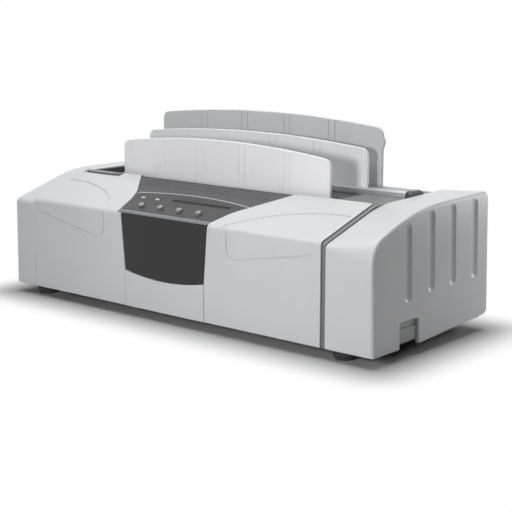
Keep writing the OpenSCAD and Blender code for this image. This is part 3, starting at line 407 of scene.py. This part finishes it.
def mica_board(name, base):
    """Pressed mica: pale brown flakes in layers."""
    material, tree, shader, place = start_material(name, 0.6, ior=1.56)
    tone(tree, shader, noise(tree, place, 2.5 * MM, 5), base, 0.3)
    bump(tree, shader, noise(tree, place, 1.5 * MM, 3), 0.3, 0.1 * MM)
    return material


def oxidised_sheath(name, base):
    """Heater tube: stainless steel browned by heat, in bands along its length."""
    material, tree, shader, place = start_material(name, 0.5, metallic=1.0)
    tone(tree, shader, noise(tree, place, 14 * MM, 3), base, 0.35)
    vary_rough(tree, shader, noise(tree, place, 3 * MM, 3), 0.4, 0.65)
    return material


def smoked_acrylic(name, base):
    """Smoked acrylic window: near black, anti-glare coated, over a faint grid of segments."""
    material, tree, shader, place = start_material(name, 0.22, ior=1.49)
    shader.inputs["Specular IOR Level"].default_value = 0.15
    cells = add_node(tree, "ShaderNodeTexBrick", {"offset": 0.0},
                     {"Scale": 1 / (4 * MM), "Mortar Size": 0.05, "Mortar": [c * 0.6 for c in base] + [1],
                      "Color1": base + [1], "Color2": [c * 1.15 for c in base] + [1]}, {"Vector": place})
    tree.links.new(cells.outputs["Color"], shader.inputs["Base Color"])
    return material


def diffusing_lens(name, base):
    """Frosted polycarbonate lens: milky, catches the light over its whole dome."""
    material, tree, shader, place = start_material(name, 0.3, ior=1.58)
    shader.inputs["Subsurface Weight"].default_value = 0.3
    shader.inputs["Subsurface Radius"].default_value = (0.002, 0.002, 0.002)
    tone(tree, shader, noise(tree, place, 1.5 * MM, 2), base, 0.06)
    return material


def cable_sheath(name, base):
    """Extruded cable sheath: satin, with a faint drawn texture."""
    material, tree, shader, place = start_material(name, 0.5, ior=1.5)
    tone(tree, shader, noise(tree, place, 3 * MM, 3), base, 0.08)
    bump(tree, shader, noise(tree, place, 0.7 * MM, 2), 0.12, 0.03 * MM)
    return material


# ---------- pieces ----------

def dress(node, material):
    """Give a solid that keeps its own shape its finish."""
    solid = NODES[node]
    solid.data.materials.clear()
    solid.data.materials.append(material)


def join_in(piece, node, material):
    """Give a piece its finish, and put it on a node's body."""
    piece.data.materials.clear()
    piece.data.materials.append(material)
    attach(piece, BODY_OF[node])


def take_place(piece, node, material):
    """Let a modelled piece stand for a node, on the node's body."""
    join_in(piece, node, material)
    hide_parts(node)


def softened(node, name, radius, keep=None, segments=2, smooth=32):
    """Copy a solid, join its faces and round its outer edges.

    keep(start, end) says what share of the radius an edge gets. Edges that bend less than smooth degrees
    are shaded as one surface.
    """
    piece = bpy.data.objects.new(name, NODES[node].data.copy())
    bpy.context.scene.collection.objects.link(piece)
    only(piece)
    bpy.ops.object.mode_set(mode="EDIT")
    bpy.ops.mesh.select_all(action="SELECT")
    bpy.ops.mesh.remove_doubles(threshold=MERGE_REACH)
    bpy.ops.mesh.dissolve_limited(angle_limit=FLAT_BEND, use_dissolve_boundaries=False)
    bpy.ops.object.mode_set(mode="OBJECT")
    shape = bmesh.new()
    shape.from_mesh(piece.data)
    weights = shape.edges.layers.float.new("bevel_weight_edge")
    for edge in shape.edges:
        start, end = edge.verts[0].co, edge.verts[1].co
        sharp = edge.is_convex and edge.calc_face_angle(0) > ROUND_BEND
        edge[weights] = float(sharp and (keep is None or keep(start, end)))
    shape.to_mesh(piece.data)
    shape.free()
    rounding = piece.modifiers.new("edges", "BEVEL")
    rounding.limit_method = "WEIGHT"
    rounding.width = radius
    rounding.segments = segments
    rounding.use_clamp_overlap = False
    rounding.miter_outer = "MITER_ARC"
    bpy.ops.object.modifier_apply(modifier=rounding.name)
    bpy.ops.object.shade_smooth()
    shape = bmesh.new()
    shape.from_mesh(piece.data)
    for edge in shape.edges:
        edge.smooth = edge.calc_face_angle(0) < math.radians(smooth)
    shape.to_mesh(piece.data)
    shape.free()
    # large faces stay flat, and only the rounded edges bend the light
    shading = piece.modifiers.new("shading", "WEIGHTED_NORMAL")
    shading.keep_sharp = True
    shading.weight = 100
    bpy.ops.object.modifier_apply(modifier=shading.name)
    return piece


def rim_only(inner, outer):
    """Round a cover's rim but not the fine lines pressed into it.

    The lines lie between two distances from the channel's middle.
    """
    def test(start, end):
        middle = (start + end) / 2
        across = abs(middle.x - CHANNEL_X)
        in_front = middle.z > FOOT_H + COVER_BOTTOM_GAP and middle.y < LIP_Y - COVER_REAR_GAP
        pressed = inner < across < outer and in_front
        return not pressed
    return test


def plate_rim(low, high):
    """Round a paddle's outline but not the fine lines pressed into its front."""
    def test(start, end):
        run = end - start
        upright = abs(run.z) > abs(run.x) + abs(run.y)
        inside = low.x + PADDLE_SIDE_GAP < start.x < high.x - PADDLE_SIDE_GAP
        return run.length > PADDLE_LINE_END and not (upright and inside)
    return test


class BINDER_OT_covers(bpy.types.Operator):
    """Front covers, centre panel and rear cover with moulded edges"""
    bl_idname = "binder.covers"
    bl_label = "Covers"

    def execute(self, context):
        colours, sizes, _ = settings()
        shell = moulded_abs("silver_abs_moulded", list(colours.housing), grain=sizes.moulding_grain)
        for node, side in (("left_front_cover", -1), ("right_front_cover", 1)):
            low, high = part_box(node)
            end = abs((low.x if side < 0 else high.x) - CHANNEL_X)
            keep = rim_only(COVER_LINE_X, end - COVER_END_GAP)
            take_place(softened(node, node + "_moulding", sizes.cover_edge, keep), node, shell)
        for node in ("centre_front_panel", "rear_cover"):
            take_place(softened(node, node + "_moulding", sizes.small_edge), node, shell)
        return {"FINISHED"}


def cap_rim(start, end):
    """Round the rims of a cap's flutes less than its own edges, so that the two never meet."""
    middle = (start + end) / 2
    for flute_y, flute_top in CAP_FLUTES:
        if abs(middle.y - flute_y) < FLUTE_REACH and FOOT_H + FLUTE_LOW < middle.z < flute_top:
            return FLUTE_SHARE
    return 1.0


class BINDER_OT_end_caps(bpy.types.Operator):
    """End caps with scooped flutes and rounded edges"""
    bl_idname = "binder.end_caps"
    bl_label = "End caps"

    def execute(self, context):
        colours, sizes, _ = settings()
        shell = bpy.data.materials["silver_abs_moulded"]
        for node in ("left_end_cap", "right_end_cap"):
            take_place(softened(node, node + "_moulding", sizes.cap_edge, cap_rim, 3), node, shell)
        plate = moulded_abs("plate_abs_moulded", list(colours.plate), grain=sizes.moulding_grain)
        dress("side_port_plate", plate)
        return {"FINISHED"}


class BINDER_OT_chassis(bpy.types.Operator):
    """Grey chassis moulding, base plate and feet"""
    bl_idname = "binder.chassis"
    bl_label = "Chassis and feet"

    def execute(self, context):
        colours, sizes, _ = settings()
        grey = moulded_abs("chassis_abs_moulded", list(colours.chassis), 0.46, sizes.moulding_grain)
        take_place(softened("chassis_shell", "chassis_moulding", sizes.small_edge), "chassis_shell", grey)
        dress("base_plate", powder_coat("dark_powder_coat", linear("#3A3A3C")))
        rubber = moulded_rubber("black_rubber_moulded", linear("#3A3A3C"))
        take_place(softened("rubber_feet", "feet_moulding", FEET_EDGE, segments=3), "rubber_feet", rubber)
        return {"FINISHED"}


class BINDER_OT_console(bpy.types.Operator):
    """Dark fascia, console, its pale front edge and the control panel"""
    bl_idname = "binder.console"
    bl_label = "Console"

    def execute(self, context):
        colours, sizes, _ = settings()
        # a pale trim, whose colour also paints the highlight on the console's rounded front edge
        trim_and_highlight = moulded_abs("trim_abs_and_painted_highlight", list(colours.trim_and_highlight), grain=sizes.moulding_grain)
        bow_centre = (PANEL_BOW_X, PANEL_BOW_Y - PANEL_BOW_R)
        # the panel's film carries a painted highlight along its bowed rim
        film = polyester_with_painted_highlight("panel_polyester_painted_highlight", list(colours.panel), list(colours.edge_highlight),
                                 bow_centre, PANEL_BOW_R, sizes.edge_highlight)
        pieces = (
            ("front_fascia", gloss_abs("fascia_abs_polished", list(colours.fascia), 0.3, 1.45)),
            ("console_deck",
             moulded_abs("console_abs_moulded", list(colours.console), 0.38, sizes.moulding_grain)),
            ("control_panel", film),
            ("console_trim", trim_and_highlight),
        )
        for node, material in pieces:
            take_place(softened(node, node + "_moulding", sizes.small_edge), node, material)
        return {"FINISHED"}


class BINDER_OT_controls(bpy.types.Operator):
    """Four domed push buttons, the two lamps, the display and the sensor tray"""
    bl_idname = "binder.controls"
    bl_label = "Controls"

    def execute(self, context):
        colours, sizes, _ = settings()
        key_finish = gloss_abs("key_abs_polished", list(colours.keys), 0.28)
        for node in ("start_button", "stop_button", "less_button", "more_button"):
            take_place(softened(node, node + "_key", KEY_EDGE, smooth=50), node, key_finish)
        lens = diffusing_lens("lamp_polycarbonate_frosted", linear("#D8DAD8"))
        take_place(softened("indicator_lamps", "lamp_lenses", KEY_EDGE, smooth=50), "indicator_lamps", lens)
        window = smoked_acrylic("window_acrylic_smoked", linear("#060607"))
        take_place(softened("display_window", "display_lens", WINDOW_EDGE), "display_window", window)
        dress("sensor_tray", moulded_abs("tray_abs_moulded", linear("#4E4E50"), 0.42, sizes.moulding_grain))
        return {"FINISHED"}


class BINDER_OT_paddles(bpy.types.Operator):
    """Three ribbed paddles with bowed crowns"""
    bl_idname = "binder.paddles"
    bl_label = "Paddles"

    def execute(self, context):
        colours, sizes, _ = settings()
        for node in ("front_paddle", "middle_paddle", "rear_paddle"):
            # the paddles' colours differ only to paint the light and shade on each
            base = list(getattr(colours, node))
            finish = moulded_abs(node + "_abs_moulded", base, 0.4, sizes.moulding_grain)
            keep = plate_rim(*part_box(node))
            take_place(softened(node, node + "_moulding", sizes.paddle_edge, keep, 3), node, finish)
        return {"FINISHED"}


class BINDER_OT_rack_rail(bpy.types.Operator):
    """Brushed rail that carries the cooling rack, and the plug on its right end"""
    bl_idname = "binder.rack_rail"
    bl_label = "Rack rail"

    def execute(self, context):
        _, sizes, _ = settings()
        metal = brushed_metal("rail_aluminium_brushed", linear("#939496"), 0.4, "X", sizes.brush_line)
        take_place(softened("rack_rail", "rack_rail_extrusion", RAIL_EDGE), "rack_rail", metal)
        # a dark plug sits over the rail's right end, and its dark colour also paints the shade on that end
        plug = softened("rack_rail", "rack_rail_end_plug", RAIL_EDGE)
        inner_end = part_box("rack_rail")[1] - Vector((sizes.rail_plug, 0, 0))
        bpy.ops.object.mode_set(mode="EDIT")
        bpy.ops.mesh.select_all(action="SELECT")
        bpy.ops.mesh.bisect(plane_co=inner_end, plane_no=(1, 0, 0), use_fill=True, clear_inner=True)
        bpy.ops.mesh.select_all(action="SELECT")
        bpy.ops.transform.shrink_fatten(value=PLUG_WALL)
        bpy.ops.object.mode_set(mode="OBJECT")
        join_in(plug, "chassis_shell", gloss_abs("plug_abs_and_painted_shade", linear("#3C3C3E"), 0.35))
        return {"FINISHED"}


class BINDER_OT_rear_fittings(bpy.types.Operator):
    """Inlet, rocker switch, fan and fasteners"""
    bl_idname = "binder.rear_fittings"
    bl_label = "Rear fittings"

    def execute(self, context):
        _, sizes, _ = settings()
        black = moulded_abs("black_nylon_moulded", linear("#1E1E20"), 0.45, 0.9 * MM)
        rocker = gloss_abs("rocker_abs_polished", linear("#1A1A1C"), 0.15)
        for node in ("power_inlet", "rocker_housing", "fan_frame"):
            take_place(softened(node, node + "_moulding", sizes.small_edge), node, black)
        take_place(softened("rocker_key", "rocker_key_moulding", sizes.small_edge), "rocker_key", rocker)
        dress("fan_rotor", moulded_abs("fan_pbt_moulded", linear("#262628"), 0.4, 0.9 * MM))
        zinc = turned_metal("screw_steel_zinc_plated", linear("#BFC2C6"), 0.28)
        for node in ("rear_screws", "foot_screws", "carriage_screws"):
            dress(node, zinc)
        return {"FINISHED"}


class BINDER_OT_clamp_drive(bpy.types.Operator):
    """Carriages, rods, shaft, gears, motor and brackets"""
    bl_idname = "binder.clamp_drive"
    bl_label = "Clamp drive"

    def execute(self, context):
        nylon = natural_nylon("carriage_nylon_natural", linear("#DDDACB"))
        acetal = natural_nylon("gear_acetal_natural", linear("#ECEAE0"), 0.35)
        steel = turned_metal("shaft_steel_ground", linear("#C8CACC"), 0.15)
        zinc = zinc_sheet("bracket_steel_zinc_plated", linear("#B4B8BD"))
        for node in ("left_carriage", "right_carriage"):
            dress(node, nylon)
        for node in ("rack_pinions", "shaft_wheel"):
            dress(node, acetal)
        for node in ("guide_rods", "cross_shaft"):
            dress(node, steel)
        for node in ("left_guide_bracket", "right_guide_bracket", "paddle_brackets"):
            dress(node, zinc)
        dress("motor_pinion", turned_metal("pinion_brass_hobbed", linear("#C9A961"), 0.25))
        dress("shaft_bushes", turned_metal("bush_bronze_sintered", linear("#B08A4E"), 0.4))
        dress("gear_motor", brushed_metal("motor_steel_drawn", linear("#B9BBBE"), 0.3, "X"))
        dress("limit_switches", bpy.data.materials["black_nylon_moulded"])
        return {"FINISHED"}


class BINDER_OT_heater(bpy.types.Operator):
    """Binding channel, heating plate and heater"""
    bl_idname = "binder.heater"
    bl_label = "Heater"

    def execute(self, context):
        dress("channel_trough", zinc_sheet("channel_steel_aluminised", linear("#9C9DA0"), 0.45))
        dress("heating_plate", brushed_metal("plate_aluminium_milled", linear("#B4B4B4"), 0.35, "X"))
        dress("heater_rods", oxidised_sheath("heater_steel_oxidised", linear("#7A6A5C")))
        dress("heater_tray", mica_board("tray_mica_pressed", linear("#BDAF8E")))
        dress("thermostat", turned_metal("thermostat_steel_drawn", linear("#B8BABC"), 0.35))
        dress("heater_cable", cable_sheath("heater_lead_silicone", linear("#E4E1D6")))
        dress("motor_cable", cable_sheath("motor_lead_pvc", linear("#A0281E")))
        return {"FINISHED"}


class BINDER_OT_electronics(bpy.types.Operator):
    """Control board, mains board and transformer"""
    bl_idname = "binder.electronics"
    bl_label = "Electronics"

    def execute(self, context):
        mask = circuit_mask("board_laminate_green_mask", linear("#1E6A3C"))
        for node in ("control_board", "power_board"):
            dress(node, mask)
        black = bpy.data.materials["black_nylon_moulded"]
        for node in ("button_switches", "power_board_parts"):
            dress(node, black)
        dress("display_module", gloss_abs("display_block_glossy", linear("#2A2D2A"), 0.2))
        dress("board_posts", turned_metal("post_brass_turned", linear("#C9A961"), 0.3))
        dress("transformer", powder_coat("core_steel_lacquered", linear("#2B2F34")))
        return {"FINISHED"}


def seen_directly(tree):
    """1 for what the camera sees and for what shines or shows through, and 0 for bounced light."""
    path = add_node(tree, "ShaderNodeLightPath")
    total = path.outputs["Is Camera Ray"]
    for kind in ("Is Glossy Ray", "Is Transmission Ray"):
        total = add_node(tree, "ShaderNodeMath", {"operation": "MAXIMUM"},
                         links={0: total, 1: path.outputs[kind]}).outputs[0]
    return total


def paper_floor(light):
    """Pale paper that keeps the machine's shadow and is seen as white away from it."""
    material = bpy.data.materials.new("studio_floor_paper")
    material.use_nodes = True
    tree = material.node_tree
    paper = tree.nodes["Principled BSDF"]
    paper.inputs["Base Color"].default_value = (PAPER_TONE, PAPER_TONE, PAPER_TONE, 1)
    paper.inputs["Roughness"].default_value = 1.0
    paper.inputs["Specular IOR Level"].default_value = 0.0
    # the distance from the machine's box, whose middle is at the origin
    high = CAD_BOX[1]
    place = add_node(tree, "ShaderNodeTexCoord").outputs["Object"]
    for operation, value in (("ABSOLUTE", None), ("SUBTRACT", (high.x, high.y, 0)), ("MAXIMUM", (0, 0, 0))):
        place = add_node(tree, "ShaderNodeVectorMath", {"operation": operation},
                         {1: value} if value else None, {0: place}).outputs[0]
    outside = add_node(tree, "ShaderNodeVectorMath", {"operation": "LENGTH"}, links={0: place})
    fade = add_node(tree, "ShaderNodeMapRange", {"interpolation_type": "SMOOTHSTEP"},
                    {"From Min": light.shadow_from, "From Max": light.shadow_to},
                    {"Value": outside.outputs["Value"]})
    share = add_node(tree, "ShaderNodeMath", {"operation": "MULTIPLY"},
                     links={0: seen_directly(tree), 1: fade.outputs["Result"]})
    white = add_node(tree, "ShaderNodeEmission", values={"Strength": light.floor})
    mix = add_node(tree, "ShaderNodeMixShader",
                   links={0: share.outputs[0], 1: paper.outputs[0], 2: white.outputs[0]})
    tree.links.new(mix.outputs[0], tree.nodes["Material Output"].inputs["Surface"])
    return material


# name, width and height, place, what it points at (all in metres), watts
LAMPS = (
    ("key", (0.12, 0.12), (0.20, -0.75, 0.26), (0.10, 0.0, 0.16), 2.45),
    ("edge_softbox", (0.5, 0.5), (-1.45, -1.05, 1.65), (0.0, -0.05, 0.1), 4.0),
    ("front_softbox", (0.5, 0.2), (0.0, -0.25, 0.60), (0.0, -0.05, 0.1), 0.49),
    ("overhead_softbox", (1.0, 1.0), (0.0, 0.1, 1.2), (0.0, 0.0, 0.0), 10.6),
    ("rear_softbox", (0.5, 0.3), (0.0, 0.5, 0.8), (0.0, 0.0, 0.1), 0.32),
    ("rear_right_light", (0.12, 0.12), (0.43, 0.32, 0.16), (0.25, 0.09, 0.08), 0.36),
)


class BINDER_OT_stage(bpy.types.Operator):
    """Floor, camera and soft studio light"""
    bl_idname = "binder.stage"
    bl_label = "Stage"

    def execute(self, context):
        _, _, light = settings()
        scene = context.scene
        scene.view_settings.view_transform = "Standard"

        bpy.ops.mesh.primitive_plane_add(size=FLOOR_WIDTH)
        floor = context.active_object
        floor.name = "studio_floor"
        floor.data.materials.append(paper_floor(light))

        world = bpy.data.worlds.new("studio_sky")
        scene.world = world
        world.use_nodes = True
        tree = world.node_tree
        sky = tree.nodes["Background"]
        strength = add_node(tree, "ShaderNodeMapRange", values={"To Min": light.sky, "To Max": 1.0},
                            links={"Value": seen_directly(tree)})
        tree.links.new(strength.outputs["Result"], sky.inputs["Strength"])
        sky.inputs["Color"].default_value = (1, 1, 1, 1)

        for name, (width, height), place, aim, watts in LAMPS:
            lamp = bpy.data.lights.new(name, "AREA")
            lamp.shape = "RECTANGLE"
            lamp.size = width
            lamp.size_y = height
            lamp.energy = watts * light.lamps
            fixture = bpy.data.objects.new(name, lamp)
            scene.collection.objects.link(fixture)
            fixture.location = place
            fixture.rotation_euler = (Vector(aim) - Vector(place)).to_track_quat("-Z", "Y").to_euler()

        camera = bpy.data.cameras.new("camera")
        camera.sensor_width = SENSOR_WIDTH
        camera.lens = CAMERA_LENS
        camera.clip_start = 0.05
        camera.clip_end = 100
        eye = bpy.data.objects.new("camera", camera)
        scene.collection.objects.link(eye)
        eye.location = CAMERA_PLACE
        eye.rotation_euler = (math.radians(90 - CAMERA_ELEVATION), 0, math.radians(CAMERA_AZIMUTH))
        scene.camera = eye
        return {"FINISHED"}


STEPS = (
    BINDER_OT_covers, BINDER_OT_end_caps, BINDER_OT_chassis, BINDER_OT_console, BINDER_OT_controls,
    BINDER_OT_paddles, BINDER_OT_rack_rail, BINDER_OT_rear_fittings, BINDER_OT_clamp_drive,
    BINDER_OT_heater, BINDER_OT_electronics, BINDER_OT_stage,
)


class BINDER_PT_panel(bpy.types.Panel):
    """Lists the steps and their settings"""
    bl_idname = "BINDER_PT_panel"
    bl_label = "Binding machine"
    bl_space_type = "VIEW_3D"
    bl_region_type = "UI"
    bl_category = "Binding machine"

    def draw(self, context):
        for step in STEPS:
            self.layout.operator(step.bl_idname)
        for group in settings():
            box = self.layout.box()
            for name in group.__annotations__:
                box.prop(group, name)


GROUPS = (("binder_colours", BinderColours), ("binder_sizes", BinderSizes), ("binder_light", BinderLight))


def register():
    for name, group in GROUPS:
        bpy.utils.register_class(group)
        setattr(bpy.types.Scene, name, bpy.props.PointerProperty(type=group))
    for step in STEPS:
        bpy.utils.register_class(step)
    bpy.utils.register_class(BINDER_PT_panel)


def unregister():
    bpy.utils.unregister_class(BINDER_PT_panel)
    for step in reversed(STEPS):
        bpy.utils.unregister_class(step)
    for name, group in reversed(GROUPS):
        delattr(bpy.types.Scene, name)
        bpy.utils.unregister_class(group)


def main():
    register()
    for step in STEPS:
        group, name = step.bl_idname.split(".")
        getattr(getattr(bpy.ops, group), name)()


if __name__ == "__main__":
    main()
